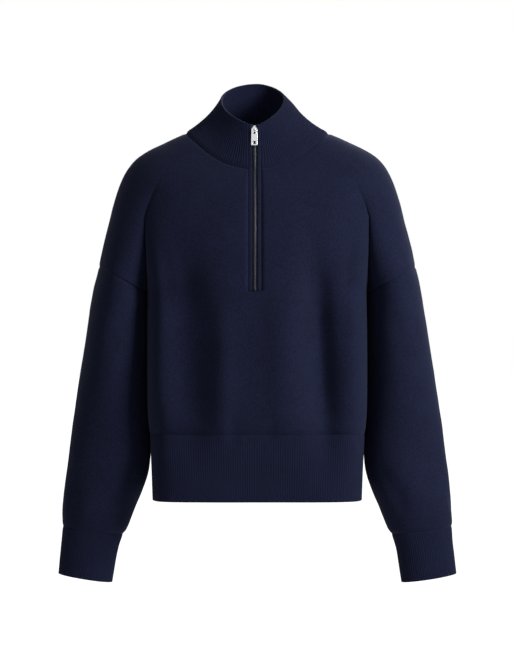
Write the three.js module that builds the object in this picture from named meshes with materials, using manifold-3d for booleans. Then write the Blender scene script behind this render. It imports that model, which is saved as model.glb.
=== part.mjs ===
// Quarter zip sweater in knitted cloth, hollow and filled out as if worn.
// Millimetres, +Z up, front towards -Y. Origin in the middle of the neck base, at shoulder level.

import * as THREE from "three";
import { mergeVertices } from "three/addons/utils/BufferGeometryUtils.js";
import Module from "manifold-3d";

const wasm = await Module();
wasm.setup();

// Cloth and seams
const bodyWall = 2.4;
const ribWall = 2.6;
const collarWall = 3;
const seamGap = 0.3;
const ribPitch = 3.45;
const ribHeight = 0.6;
const ribsPerInnerColumn = 4;

// Columns of each quarter of a ring: chest or back part, then the part over the arm
const chestColumns = 12;
const armColumns = 8;
const chestSpread = 0.6;
const chestPower = 2.9;

// Zip, measured across from its own middle line
const zipX = -4;
const slitHalf = 9.8;
const bandInner = 4.5;
const bandOuter = 9.5;
const bandRaise = 0.5;
const bandBack = 2.2;
const tapeInner = 1.5;
const tapeFront = 2.5;
const tapeBack = 3.5;
const coilInner = 0.15;
const coilOuter = 2.75;
const coilFront = 0.3;
const coilBack = 2.2;
const zipShiftReach = 90;
const zipShiftDepth = 40;

// Slider and pull, measured from the hinge of the pull
const hingeBelowRim = 7.8;
const hingeOut = 2.6;
const sliderBottom = -4;
// Right half of the slider's outline, x and z, from its foot up to the top of its crown
const sliderEdge = [[3.2, sliderBottom], [4, -2.4], [4, 1.4], [2.8, 2.6], [1.8, 4.4], [1, 5.4]];
const sliderFront = 1;
const archHalf = 1.3;
const archInner = 1.3;
const archOuter = 2.5;
const archRoot = 2.1;
const pullThick = 1.4;
const pullTopHalf = 4.3;
const pullBottomHalf = 4.8;
const pullLength = 25;
const pullCorner = 1.2;
const slotHalf = 1.6;
const slotBottom = -2.8;
const eyeRadius = 1.2;
const eyeZ = -5.6;
const gripHalfX = 1.5;
const gripHalfZ = 1.8;
const gripZ = -20;

// Body below the underarm: half width, depth of the front and of the back, and how square it is
const torsoSections = [
  { z: -250, half: 162.6, front: 118, back: 112, power: 2.92 },
  { z: -290, half: 163, front: 119, back: 111.5, power: 3 },
  { z: -330, half: 163, front: 120.5, back: 111, power: 3.1 },
  { z: -370, half: 162.8, front: 122.5, back: 112, power: 3.25 },
  { z: -405, half: 162.2, front: 124, back: 113.5, power: 3.35 },
  { z: -430, half: 161, front: 123, back: 113, power: 3.4 },
  { z: -441, half: 159.3, front: 118.5, back: 109.5, power: 3.4 },
];

// Hem rib, from its seam down
const hemSections = [
  torsoSections[torsoSections.length - 1],
  { z: -489, half: 157.5, front: 116, back: 108, power: 3.9 },
  { z: -538, half: 155, front: 113.5, back: 106.5, power: 4.2 },
];

// Rings from the underarm up to the neck seam: the middle of the front, the outer
// point on the shoulder line and the middle of the back. split is how far the arm
// stands apart from the chest, with the fold between them at valley.
const yokeRings = [
  { frontZ: -232, front: 118, outerZ: -194, outer: 237, backZ: -232, back: 112, split: 1 },
  { frontZ: -212, front: 118.5, outerZ: -177, outer: 233.5, backZ: -210, back: 114, split: 0.66 },
  { frontZ: -190, front: 118, outerZ: -155, outer: 228.5, backZ: -186, back: 116, split: 0.42 },
  { frontZ: -165, front: 116, outerZ: -128, outer: 221.5, backZ: -158, back: 117, split: 0.26 },
  { frontZ: -138, front: 112, outerZ: -97, outer: 213.5, backZ: -128, back: 116, split: 0.14 },
  { frontZ: -114, front: 107, outerZ: -70, outer: 205, backZ: -100, back: 113, split: 0.06 },
  { frontZ: -96, front: 101.5, outerZ: -50, outer: 195.5, backZ: -76, back: 108.5, split: 0.02 },
  { frontZ: -82, front: 95.5, outerZ: -33.5, outer: 182, backZ: -54, back: 102, split: 0 },
  { frontZ: -70, front: 88.5, outerZ: -19.5, outer: 162, backZ: -34, back: 94, split: 0 },
  { frontZ: -61.5, front: 82, outerZ: -8, outer: 138, backZ: -15, back: 85, split: 0 },
  { frontZ: -56, front: 77.5, outerZ: 0.5, outer: 120, backZ: 1, back: 77, split: 0 },
  { frontZ: -51.5, front: 74, outerZ: 6, outer: 107, backZ: 16, back: 70, split: 0 },
];
const valleyX = 164;
const valleyShareLow = 0.8;
const valleyShareHigh = 0.7;
const armDepth = 80;
const ringRise = 2.2;
const lowRingPower = 2.4;
const neckRingPower = 2;

// Sleeve from below the armhole to the cuff seam, then the cuff. tilt lifts the outer edge.
const sleeveSections = [
  { z: -236, inner: 165.4, outer: 244, depth: 79, tilt: 14 },
  { z: -262, inner: 165.5, outer: 249.5, depth: 76, tilt: 9 },
  { z: -300, inner: 165.5, outer: 256.5, depth: 71.5, tilt: 4 },
  { z: -340, inner: 165.6, outer: 263, depth: 66.5, tilt: 0 },
  { z: -380, inner: 165.6, outer: 269.2, depth: 62, tilt: 0 },
  { z: -420, inner: 164.8, outer: 275.2, depth: 58, tilt: 0 },
  { z: -455, inner: 162.8, outer: 279.7, depth: 54.5, tilt: 0 },
  { z: -485, inner: 160.8, outer: 284, depth: 52, tilt: 0 },
  { z: -505, inner: 163.5, outer: 286.5, depth: 50, tilt: 0 },
  { z: -525, inner: 170.3, outer: 288.6, depth: 47.5, tilt: 0 },
  { z: -545, inner: 178.7, outer: 290.4, depth: 44.5, tilt: 1 },
  { z: -565, inner: 187.8, outer: 291.3, depth: 41, tilt: 3 },
  { z: -580, inner: 195, outer: 291.2, depth: 37.5, tilt: 5 },
  { z: -587, inner: 200.8, outer: 290.2, depth: 34, tilt: 6 },
];
const cuffSections = [
  sleeveSections[sleeveSections.length - 1],
  { z: -612, inner: 208.2, outer: 292.6, depth: 30.5, tilt: 6 },
  { z: -657.5, inner: 215.7, outer: 297, depth: 28, tilt: 6.5 },
];
const underarmZ = -232;
const cuffForward = 14;
const cuffDrop = 425;

// Collar: rim size, how far its sides lean over, and how its wall draws in from the neck seam
const rim = { half: 54.6, aside: -3, front: 66, back: 60, frontZ: 12.5, backZ: 85, rise: 0.75 };
const collarHeights = [0, 0.35, 0.7, 0.87, 1];
const collarDraw = 1.55;
// Above this share of its height the collar's sides roll inwards, the right one further
const rollFrom = 0.7;
const rollRight = 10;
const rollLeft = 3;

// Soft troughs pressed into the cloth, or ridges where the depth is below 0; x runs from
// xTop to xBottom between the two heights
const bodyFolds = [
  { side: "front", xTop: -90, xBottom: -93, top: -200, bottom: -498, width: 32, depth: 11 },
  { side: "front", xTop: -74, xBottom: -78, top: -230, bottom: -485, width: 16, depth: 10 },
  { side: "front", xTop: 90, xBottom: 112, top: -190, bottom: -495, width: 16, depth: 18 },
  { side: "front", xTop: -149, xBottom: -149, top: -225, bottom: -490, width: 16, depth: -10 },
  { side: "front", xTop: 142, xBottom: 148, top: -200, bottom: -490, width: 16, depth: -9 },
  { side: "back", xTop: -92, xBottom: -112, top: -225, bottom: -468, width: 20, depth: 8 },
  { side: "back", xTop: 58, xBottom: 74, top: -260, bottom: -472, width: 22, depth: 7 },
  { side: "back", xTop: 0, xBottom: -16, top: -60, bottom: -250, width: 24, depth: 3 },
];
const sleeveFolds = [
  { arm: 1, around: 0.34, top: -400, bottom: -572, width: 0.09, depth: 5 },
  { arm: 1, around: 0.7, top: -300, bottom: -520, width: 0.1, depth: 4 },
  { arm: -1, around: 0.3, top: -350, bottom: -560, width: 0.09, depth: 4.5 },
  { arm: -1, around: 0.66, top: -420, bottom: -575, width: 0.1, depth: 5 },
];

const navyKnit = { color: 0x1c2136, roughness: 0.95, metalness: 0 };
const navyRib = { color: 0x191e32, roughness: 0.95, metalness: 0 };
const blackTape = { color: 0x111219, roughness: 0.7, metalness: 0 };
const blackCoil = { color: 0x16171c, roughness: 0.35, metalness: 0 };
const polishedSteel = { color: 0xd8dadd, roughness: 0.15, metalness: 1 };

const garment = new THREE.Group();
const hardware = new THREE.Group();

function point(x, y, z) {
  return new THREE.Vector3(x, y, z);
}

function mix(a, b, share) {
  return a + (b - a) * share;
}

function clamp01(value) {
  return Math.min(1, Math.max(0, value));
}

// One lobe of a rounded ring: 1 in its middle, 0 at its edge
function lobe(share, power) {
  return Math.pow(Math.max(0, 1 - Math.pow(Math.abs(share), power)), 1 / power);
}

// How deep the folds press in at a height and a place across
function foldDepth(folds, across, z, keyTop, keyBottom) {
  let depth = 0;
  for (const fold of folds) {
    const down = (fold.top - z) / (fold.top - fold.bottom);
    if (down <= 0 || down >= 1) continue;
    const middle = mix(fold[keyTop], fold[keyBottom], down);
    const off = (across - middle) / fold.width;
    depth += fold.depth * Math.sin(Math.PI * down) * Math.exp(-off * off);
  }
  return depth;
}

// Moves the middle of the front over to the zip's line
function shiftToZip(p) {
  const near = clamp01(1 - Math.abs(p.x) / zipShiftReach);
  p.x += zipX * near * clamp01(-p.y / zipShiftDepth);
  return p;
}

// A point of the body's surface, with its folds
function bodyPoint(x, depth, z, facing) {
  const side = facing < 0 ? "front" : "back";
  const folds = bodyFolds.filter((fold) => fold.side === side);
  const pressed = foldDepth(folds, x, z, "xTop", "xBottom") * clamp01(depth / zipShiftDepth);
  return shiftToZip(point(x, facing * (depth - pressed), z));
}

// Places across one quarter of the chest, from the zip or the middle out to the valley
function chestPlaces(from, to) {
  const places = [];
  for (let i = 0; i <= chestColumns; i++) {
    const share = i / chestColumns;
    const spread = mix(share, Math.sin((share * Math.PI) / 2), chestSpread);
    places.push(mix(from, to, spread));
  }
  return places;
}

// Right half of one body ring, seen from the front: facing -1 is the front, 1 the back
function torsoQuarter(section, facing) {
  const depth = facing < 0 ? section.front : section.back;
  const from = facing < 0 ? slitHalf : 0;
  return chestPlaces(from, section.half).map((x) => ({
    x,
    depth: depth * lobe(x / section.half, section.power),
    z: section.z,
  }));
}

// Right half of one yoke ring: the chest part, then the part over the arm
function yokeQuarter(ring, facing, share) {
  const depth = facing < 0 ? ring.front : ring.back;
  const middleZ = facing < 0 ? ring.frontZ : ring.backZ;
  const valley = Math.min(valleyX, ring.outer * mix(valleyShareLow, valleyShareHigh, share));
  const places = chestPlaces(facing < 0 ? slitHalf : 0, valley);
  const armMiddle = (valley + ring.outer) / 2;
  const armHalf = (ring.outer - valley) / 2;
  for (let i = 1; i <= armColumns; i++)
    places.push(armMiddle - armHalf * Math.cos((Math.PI * i) / armColumns));
  const power = mix(lowRingPower, neckRingPower, share);
  return places.map((x) => {
    const wide = depth * lobe(x / ring.outer, power);
    const chest = depth * lobe(x / valley, chestPower);
    const arm = armDepth * lobe((x - armMiddle) / armHalf, 2);
    const apart = x <= valley ? chest : arm;
    const wideRise = Math.pow(x / ring.outer, ringRise);
    const apartRise = clamp01((x - valley) / (ring.outer - valley));
    const rise = mix(wideRise, apartRise, ring.split);
    return { x, depth: mix(wide, apart, ring.split), z: mix(middleZ, ring.outerZ, rise) };
  });
}

// A whole ring, counter-clockwise seen from above: right front, right back, left back, left front
function wholeRing(front, back) {
  const place = (q, sign, facing) => bodyPoint(sign * q.x, q.depth, q.z, facing);
  const rightFront = front.map((q) => place(q, 1, -1));
  const rightBack = back.map((q) => place(q, 1, 1)).reverse();
  const leftBack = back.map((q) => place(q, -1, 1));
  const leftFront = front.map((q) => place(q, -1, -1)).reverse();
  return { rightFront, rightBack, leftBack, leftFront };
}

// One ring of a sleeve, from the underarm round the front; arm is 1 on the right, -1 on the left
function sleeveRing(section, arm) {
  const middle = (section.inner + section.outer) / 2;
  const half = (section.outer - section.inner) / 2;
  const forward = -cuffForward * clamp01((underarmZ - section.z) / cuffDrop);
  const folds = sleeveFolds.filter((fold) => fold.arm === arm);
  const ring = [];
  for (let i = 0; i < 2 * armColumns; i++) {
    const angle = (Math.PI * i) / armColumns;
    const around = i / (2 * armColumns);
    const pressed = foldDepth(folds, around, section.z, "around", "around");
    const across = -Math.cos(angle) * (half - pressed);
    const depth = -Math.sin(angle) * (section.depth - pressed);
    ring.push(point(middle + across, forward + depth, section.z + (section.tilt * across) / half));
  }
  ring.push(ring[0].clone());
  return arm > 0 ? ring : ring.map((p) => point(-p.x, p.y, p.z)).reverse();
}

// Collar ring at a share of the collar's height, above the neck ring
function collarRing(neckRing, height) {
  const neck = yokeRings[yokeRings.length - 1];
  const drawn = 1 - Math.pow(1 - height, collarDraw);
  const curl = Math.pow(clamp01((height - rollFrom) / (1 - rollFrom)), 2);
  return neckRing.map((q) => {
    const facing = q.facing;
    const turn = Math.asin(Math.min(1, q.x / neck.outer));
    const start = facing < 0 ? Math.asin(slitHalf / neck.outer) : 0;
    const rimStart = facing < 0 ? Math.asin(slitHalf / rim.half) : 0;
    const along = (turn - start) / (Math.PI / 2 - start);
    const rimTurn = mix(rimStart, Math.PI / 2, along);
    const rimX = rim.half * Math.sin(rimTurn);
    const rimDepth = (facing < 0 ? rim.front : rim.back) * Math.cos(rimTurn);
    const back = (facing * rimDepth + rim.front) / (rim.front + rim.back);
    const rimZ = mix(rim.frontZ, rim.backZ, Math.pow(back, rim.rise));
    const aside = (rim.aside * drawn * rimX) / rim.half;
    const rolled = (q.sign > 0 ? rollRight : rollLeft) * Math.sin((along * Math.PI) / 2) * curl;
    const x = q.sign * (mix(q.x, rimX, drawn) - rolled) + aside;
    const y = facing * mix(q.depth, rimDepth, drawn);
    return point(x, y, mix(q.z, rimZ, height));
  });
}

// The whole outer surface, as patches whose rows go up and whose columns go round
function makeSurface() {
  const last = yokeRings.length - 1;
  const yoke = yokeRings.map((ring, i) =>
    wholeRing(yokeQuarter(ring, -1, i / last), yokeQuarter(ring, 1, i / last)),
  );
  const torso = [...torsoSections].reverse().map((s) => wholeRing(torsoQuarter(s, -1), torsoQuarter(s, 1)));
  const hem = [...hemSections].reverse().map((s) => wholeRing(torsoQuarter(s, -1), torsoQuarter(s, 1)));
  const chestOnly = {
    rightFront: yoke[0].rightFront.slice(0, chestColumns + 1),
    rightBack: yoke[0].rightBack.slice(armColumns),
    leftBack: yoke[0].leftBack.slice(0, chestColumns + 1),
    leftFront: yoke[0].leftFront.slice(armColumns),
  };
  torso.push(chestOnly);
  const frontRow = (ring) => [...ring.leftFront, ...ring.rightFront];
  const backRow = (ring) => [...ring.rightBack, ...ring.leftBack.slice(1)];
  const armhole = (ring, arm) => {
    const front = arm > 0 ? ring.rightFront : ring.leftFront;
    const back = arm > 0 ? ring.rightBack : ring.leftBack;
    return arm > 0
      ? [...front.slice(chestColumns), ...back.slice(1, armColumns + 1)]
      : [...back.slice(chestColumns), ...front.slice(1, armColumns + 1)];
  };
  const sleeve = (arm) => [
    ...[...sleeveSections].reverse().map((s) => sleeveRing(s, arm)),
    armhole(yoke[0], arm),
  ];
  const cuff = (arm) => [...cuffSections].reverse().map((s) => sleeveRing(s, arm));
  const neckQuarter = (facing, sign) =>
    yokeQuarter(yokeRings[last], facing, 1).map((q) => ({ ...q, facing, sign }));
  const neckRing = [
    ...neckQuarter(-1, 1),
    ...neckQuarter(1, 1).reverse().slice(1),
    ...neckQuarter(1, -1).slice(1),
    ...neckQuarter(-1, -1).reverse().slice(1),
  ];
  return {
    torsoFront: torso.map(frontRow),
    torsoBack: torso.map(backRow),
    yokeRight: yoke.map((ring) => ring.rightFront),
    yokeLeft: yoke.map((ring) => ring.leftFront),
    yokeBack: yoke.map(backRow),
    hemFront: hem.map(frontRow),
    hemBack: hem.map(backRow),
    sleeveRight: sleeve(1),
    sleeveLeft: sleeve(-1),
    cuffRight: cuff(1),
    cuffLeft: cuff(-1),
    collar: collarHeights.map((height) => collarRing(neckRing, height).map(shiftToZip)),
  };
}

function placeKey(p) {
  return [p.x, p.y, p.z].map((v) => Math.round(v * 200)).join(",");
}

function faceNormal(a, b, c) {
  return b.clone().sub(a).cross(c.clone().sub(a));
}

// Triangles of a patch, as corner points, turned outwards
function patchTriangles(rows) {
  const triangles = [];
  for (let r = 0; r + 1 < rows.length; r++) {
    for (let c = 0; c + 1 < rows[r].length; c++) {
      const [a, b] = [rows[r][c], rows[r][c + 1]];
      const [d, e] = [rows[r + 1][c], rows[r + 1][c + 1]];
      triangles.push([a, b, e], [a, e, d]);
    }
  }
  return triangles;
}

// Outward direction of the cloth at each point of the surface, shared by the pieces that meet there
function surfaceNormals(surface) {
  const sums = new Map();
  for (const rows of Object.values(surface)) {
    for (const corners of patchTriangles(rows)) {
      const normal = faceNormal(...corners);
      for (const p of corners) {
        const key = placeKey(p);
        if (!sums.has(key)) sums.set(key, new THREE.Vector3());
        sums.get(key).add(normal);
      }
    }
  }
  for (const normal of sums.values()) normal.normalize();
  for (const arm of [-1, 1]) sums.set(placeKey(point(arm * valleyX, 0, underarmZ)), point(0, 0, -1));
  const slitEdges = [...surface.yokeRight, ...surface.collar].map((row) => row[0]);
  slitEdges.push(...[...surface.yokeLeft, ...surface.collar].map((row) => row[row.length - 1]));
  for (const p of slitEdges) sums.get(placeKey(p)).setX(0).normalize();
  return sums;
}

const surface = makeSurface();
const normals = surfaceNormals(surface);

function normalAt(p) {
  return normals.get(placeKey(p)).clone();
}

// Moves each edge point of a piece inwards by half a seam gap, along the surface
function drawEdgesIn(points, outward, triangles) {
  const shift = points.map(() => []);
  const used = new Set(triangles.flatMap(([a, b, c]) => [a + "_" + b, b + "_" + c, c + "_" + a]));
  const edges = [];
  for (const [a, b, c] of triangles) {
    const normal = faceNormal(points[a], points[b], points[c]).normalize();
    for (const [from, to] of [[a, b], [b, c], [c, a]]) {
      if (used.has(to + "_" + from)) continue;
      edges.push([from, to]);
      const inwards = normal.clone().cross(points[to].clone().sub(points[from]).normalize());
      shift[from].push(inwards);
      shift[to].push(inwards);
    }
  }
  points.forEach((p, i) => {
    if (!shift[i].length) return;
    const sum = shift[i].reduce((total, v) => total.add(v), new THREE.Vector3());
    sum.addScaledVector(outward[i], -sum.dot(outward[i]));
    const square = Math.max(sum.lengthSq(), 0.5);
    p.addScaledVector(sum, (seamGap / 2) * (shift[i].length / square));
  });
  return edges;
}

function solidFrom(points, triangles) {
  const geometry = new THREE.BufferGeometry();
  geometry.setAttribute(
    "position",
    new THREE.Float32BufferAttribute(points.flatMap((p) => [p.x, p.y, p.z]), 3),
  );
  geometry.setIndex(triangles.flat());
  geometry.computeVertexNormals();
  return geometry;
}

// A plain cloth piece: its patches of the surface, thickened inwards
function clothWall(patches, wall) {
  const index = new Map();
  const points = [];
  const outward = [];
  const keys = [];
  const triangles = [];
  const indexOf = (p) => {
    const key = placeKey(p);
    if (!index.has(key)) {
      index.set(key, points.length);
      points.push(p.clone());
      outward.push(normalAt(p));
      keys.push(key);
    }
    return index.get(key);
  };
  for (const rows of patches) {
    for (const corners of patchTriangles(rows)) {
      const [a, b, c] = corners.map(indexOf);
      if (a !== b && b !== c && c !== a) triangles.push([a, b, c]);
    }
  }
  const edges = drawEdgesIn(points, outward, triangles);
  const count = points.length;
  const inner = points.map((p, i) => p.clone().addScaledVector(outward[i], -wall));
  const closed = [
    ...triangles,
    ...triangles.map(([a, b, c]) => [c + count, b + count, a + count]),
    ...edges.flatMap(([a, b]) =>
      keys[a] < keys[b]
        ? [[b, a, a + count], [b, a + count, b + count]]
        : [[b, a, b + count], [a, a + count, b + count]],
    ),
  ];
  return solidFrom([...points, ...inner], closed);
}

// A row of surface points spread evenly, with their outward directions
function evenRow(row, columns) {
  const runs = [0];
  for (let i = 1; i < row.length; i++) runs.push(runs[i - 1] + row[i].distanceTo(row[i - 1]));
  const length = runs[runs.length - 1];
  const spread = [];
  let at = 0;
  for (let i = 0; i <= columns; i++) {
    const run = (length * i) / columns;
    while (at + 2 < row.length && runs[at + 1] < run) at++;
    const share = (run - runs[at]) / (runs[at + 1] - runs[at]);
    const outward = normalAt(row[at]).lerp(normalAt(row[at + 1]), share).normalize();
    spread.push({ p: row[at].clone().lerp(row[at + 1], share), outward });
  }
  return spread;
}

// Draws the ends of a list of spread points in by half a seam gap
function trimEnds(list) {
  const last = list.length - 1;
  for (const [end, next] of [[0, 1], [last, last - 1]]) {
    const along = list[next].p.clone().sub(list[end].p).normalize();
    list[end].p.addScaledVector(along, seamGap / 2);
  }
}

// Triangles between a fine row and a plain row that has one point for every step fine ones
function joinRows(fine, plain, step) {
  const triangles = [];
  for (let i = 0; i + 1 < plain.length; i++) {
    const middle = i * step + step / 2;
    for (let k = i * step; k < (i + 1) * step; k++)
      triangles.push([fine[k + 1], fine[k], k < middle ? plain[i] : plain[i + 1]]);
    triangles.push([fine[middle], plain[i], plain[i + 1]]);
  }
  return triangles;
}

// A ribbed piece: ribs raised in the outer points, over a plain inside
function ribbedWall(rows, wall, closedRound) {
  const longest = Math.max(...rows.map((row) => rowLength(row)));
  const step = 2 * ribsPerInnerColumn;
  const meanLength = (longest + Math.min(...rows.map((row) => rowLength(row)))) / 2;
  const columns = Math.round(meanLength / ribPitch / ribsPerInnerColumn) * step;
  const grid = rows.map((row) => evenRow(row, columns));
  if (!closedRound) grid.forEach(trimEnds);
  for (let c = 0; c <= columns; c++) trimEnds(grid.map((row) => row[c]));
  const wide = closedRound ? columns : columns + 1;
  const points = [];
  const outerIndex = grid.map((row) => {
    const first = points.length;
    for (let c = 0; c < wide; c++) {
      const raise = c % 2 === 1 ? ribHeight : 0;
      points.push(row[c].p.clone().addScaledVector(row[c].outward, raise));
    }
    return Array.from({ length: columns + 1 }, (_, c) => first + (c % wide));
  });
  const innerWide = closedRound ? columns / step : columns / step + 1;
  const innerIndex = grid.map((row) => {
    const first = points.length;
    for (let c = 0; c < innerWide; c++)
      points.push(row[c * step].p.clone().addScaledVector(row[c * step].outward, -wall));
    return Array.from({ length: columns / step + 1 }, (_, c) => first + (c % innerWide));
  });
  const triangles = [];
  for (let r = 0; r + 1 < grid.length; r++) {
    for (let c = 0; c < columns; c++) {
      const [a, b] = [outerIndex[r][c], outerIndex[r][c + 1]];
      const [d, e] = [outerIndex[r + 1][c], outerIndex[r + 1][c + 1]];
      triangles.push([a, b, e], [a, e, d]);
    }
    for (let c = 0; c < columns / step; c++) {
      const [a, b] = [innerIndex[r][c], innerIndex[r][c + 1]];
      const [d, e] = [innerIndex[r + 1][c], innerIndex[r + 1][c + 1]];
      triangles.push([e, b, a], [d, e, a]);
    }
    if (!closedRound) {
      const ends = [outerIndex[r][0], outerIndex[r + 1][0], innerIndex[r][0], innerIndex[r + 1][0]];
      triangles.push([ends[0], ends[1], ends[3]], [ends[0], ends[3], ends[2]]);
      const far = columns / step;
      const [a, b] = [outerIndex[r][columns], outerIndex[r + 1][columns]];
      const [c, d] = [innerIndex[r][far], innerIndex[r + 1][far]];
      triangles.push([b, a, d], [d, a, c]);
    }
  }
  const top = grid.length - 1;
  triangles.push(...joinRows(outerIndex[0], innerIndex[0], step));
  triangles.push(...joinRows(outerIndex[top], innerIndex[top], step).map(([a, b, c]) => [c, b, a]));
  return solidFrom(points, triangles);
}

function rowLength(row) {
  let length = 0;
  for (let i = 1; i < row.length; i++) length += row[i].distanceTo(row[i - 1]);
  return length;
}

function addPiece(group, name, geometry, look) {
  const mesh = new THREE.Mesh(geometry, new THREE.MeshStandardMaterial(look));
  mesh.name = name;
  group.add(mesh);
  return mesh;
}

// Middle line of the zip on the cloth's outer surface, from its foot up to the collar's rim
function zipLine() {
  const line = [];
  surface.yokeRight.forEach((row, i) => {
    const left = surface.yokeLeft[i];
    line.push(row[0].clone().add(left[left.length - 1]).multiplyScalar(0.5));
  });
  for (const row of surface.collar.slice(1))
    line.push(row[0].clone().add(row[row.length - 1]).multiplyScalar(0.5));
  return line;
}

// The stretch of a line between two distances from its start
function cutLine(line, from, to) {
  const cut = [];
  let run = 0;
  for (let i = 0; i + 1 < line.length; i++) {
    const length = line[i].distanceTo(line[i + 1]);
    const at = (distance) => line[i].clone().lerp(line[i + 1], (distance - run) / length);
    if (!cut.length && run + length > from) cut.push(at(from));
    if (run + length >= to) {
      cut.push(at(to));
      return cut;
    }
    if (cut.length) cut.push(line[i + 1].clone());
    run += length;
  }
  return cut;
}

// A strip along the zip: across from its middle line, and deep from the outer surface
function zipStrip(line, across, deep) {
  const points = [];
  const triangles = [];
  line.forEach((p, i) => {
    const before = line[Math.max(0, i - 1)];
    const after = line[Math.min(line.length - 1, i + 1)];
    const along = after.clone().sub(before).normalize();
    const inwards = along.clone().cross(point(1, 0, 0)).normalize();
    for (const [u, d] of [
      [across[0], deep[0]],
      [across[1], deep[0]],
      [across[1], deep[1]],
      [across[0], deep[1]],
    ])
      points.push(p.clone().addScaledVector(inwards, d).add(point(u, 0, 0)));
    if (i === 0) return;
    for (let k = 0; k < 4; k++) {
      const next = (k + 1) % 4;
      const [a, b, c, e] = [4 * i - 4 + k, 4 * i - 4 + next, 4 * i + next, 4 * i + k];
      triangles.push([a, b, c], [a, c, e]);
    }
  });
  const end = points.length - 4;
  triangles.push([2, 1, 0], [3, 2, 0], [end, end + 1, end + 2], [end, end + 2, end + 3]);
  return solidFrom(points, triangles);
}

function mirroredSpan(span, side) {
  return side > 0 ? span : [-span[1], -span[0]];
}

function toSolid(geometry) {
  const bare = geometry.clone();
  bare.deleteAttribute("normal");
  bare.deleteAttribute("uv");
  const merged = mergeVertices(bare, 1e-4);
  return new wasm.Manifold(
    new wasm.Mesh({
      numProp: 3,
      vertProperties: new Float32Array(merged.attributes.position.array),
      triVerts: new Uint32Array(merged.index.array),
    }),
  );
}

function toGeometry(solid) {
  const mesh = solid.getMesh();
  const geometry = new THREE.BufferGeometry();
  geometry.setAttribute("position", new THREE.BufferAttribute(mesh.vertProperties, 3));
  geometry.setIndex(new THREE.BufferAttribute(mesh.triVerts, 1));
  geometry.computeVertexNormals();
  return geometry;
}

// A flat shape standing across the front, its thickness running out towards -Y from backY
function plate(shape, thick, backY) {
  const flat = new THREE.ExtrudeGeometry(shape, { depth: thick, bevelEnabled: false, curveSegments: 6 });
  return flat.rotateX(Math.PI / 2).translate(0, backY, 0);
}

// Slider body with its crown, and the arch that the pull hangs on
function makeSlider() {
  const rightEdge = sliderEdge.map(([x, z]) => new THREE.Vector2(x, z));
  const leftEdge = sliderEdge.map(([x, z]) => new THREE.Vector2(-x, z)).reverse();
  const outline = new THREE.Shape([...rightEdge, ...leftEdge]);
  const bodyBack = hingeOut + coilBack;
  const body = plate(outline, coilBack + sliderFront, bodyBack);
  const arch = new THREE.Shape();
  arch.moveTo(-archRoot, -archOuter);
  arch.lineTo(0, -archOuter);
  arch.absarc(0, 0, archOuter, -Math.PI / 2, Math.PI / 2, false);
  arch.lineTo(-archRoot, archOuter);
  arch.lineTo(-archRoot, archInner);
  arch.lineTo(0, archInner);
  arch.absarc(0, 0, archInner, Math.PI / 2, -Math.PI / 2, true);
  arch.lineTo(-archRoot, -archInner);
  const bow = new THREE.ExtrudeGeometry(arch, { depth: 2 * archHalf, bevelEnabled: false, curveSegments: 10 });
  bow.translate(0, 0, -archHalf);
  bow.applyMatrix4(new THREE.Matrix4().makeBasis(point(0, -1, 0), point(0, 0, 1), point(-1, 0, 0)));
  return toGeometry(toSolid(body).add(toSolid(bow)));
}

// Pull tab: a flat plate that widens downwards, with its hinge slot, an eye and a grip hole
function makePull() {
  const top = pullThick / 2;
  const bottom = top - pullLength;
  const outline = new THREE.Shape();
  outline.moveTo(-pullBottomHalf + pullCorner, bottom);
  outline.lineTo(pullBottomHalf - pullCorner, bottom);
  outline.quadraticCurveTo(pullBottomHalf, bottom, pullBottomHalf, bottom + pullCorner);
  outline.lineTo(pullTopHalf, top - pullCorner);
  outline.quadraticCurveTo(pullTopHalf, top, pullTopHalf - pullCorner, top);
  outline.lineTo(-pullTopHalf + pullCorner, top);
  outline.quadraticCurveTo(-pullTopHalf, top, -pullTopHalf, top - pullCorner);
  outline.lineTo(-pullBottomHalf, bottom + pullCorner);
  outline.quadraticCurveTo(-pullBottomHalf, bottom, -pullBottomHalf + pullCorner, bottom);
  const slot = new THREE.Path([
    new THREE.Vector2(-slotHalf, slotBottom),
    new THREE.Vector2(-slotHalf, -top),
    new THREE.Vector2(slotHalf, -top),
    new THREE.Vector2(slotHalf, slotBottom),
  ]);
  const eye = new THREE.Path();
  eye.absarc(0, eyeZ, eyeRadius, 0, 2 * Math.PI, true);
  const grip = new THREE.Path([
    new THREE.Vector2(-gripHalfX, gripZ - gripHalfZ),
    new THREE.Vector2(-gripHalfX, gripZ + gripHalfZ),
    new THREE.Vector2(gripHalfX, gripZ + gripHalfZ),
    new THREE.Vector2(gripHalfX, gripZ - gripHalfZ),
  ]);
  outline.holes.push(slot, eye, grip);
  return plate(outline, pullThick, pullThick / 2);
}

function addCloth() {
  const front = [surface.torsoFront, surface.yokeRight, surface.yokeLeft];
  addPiece(garment, "front", clothWall(front, bodyWall), navyKnit);
  addPiece(garment, "back", clothWall([surface.torsoBack, surface.yokeBack], bodyWall), navyKnit);
  addPiece(garment, "sleeve_right", clothWall([surface.sleeveRight], bodyWall), navyKnit);
  addPiece(garment, "sleeve_left", clothWall([surface.sleeveLeft], bodyWall), navyKnit);
  addPiece(garment, "hem_rib_front", ribbedWall(surface.hemFront, ribWall, false), navyRib);
  addPiece(garment, "hem_rib_back", ribbedWall(surface.hemBack, ribWall, false), navyRib);
  addPiece(garment, "cuff_right", ribbedWall(surface.cuffRight, ribWall, true), navyRib);
  addPiece(garment, "cuff_left", ribbedWall(surface.cuffLeft, ribWall, true), navyRib);
  addPiece(garment, "collar", ribbedWall(surface.collar, collarWall, false), navyRib);
}

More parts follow.
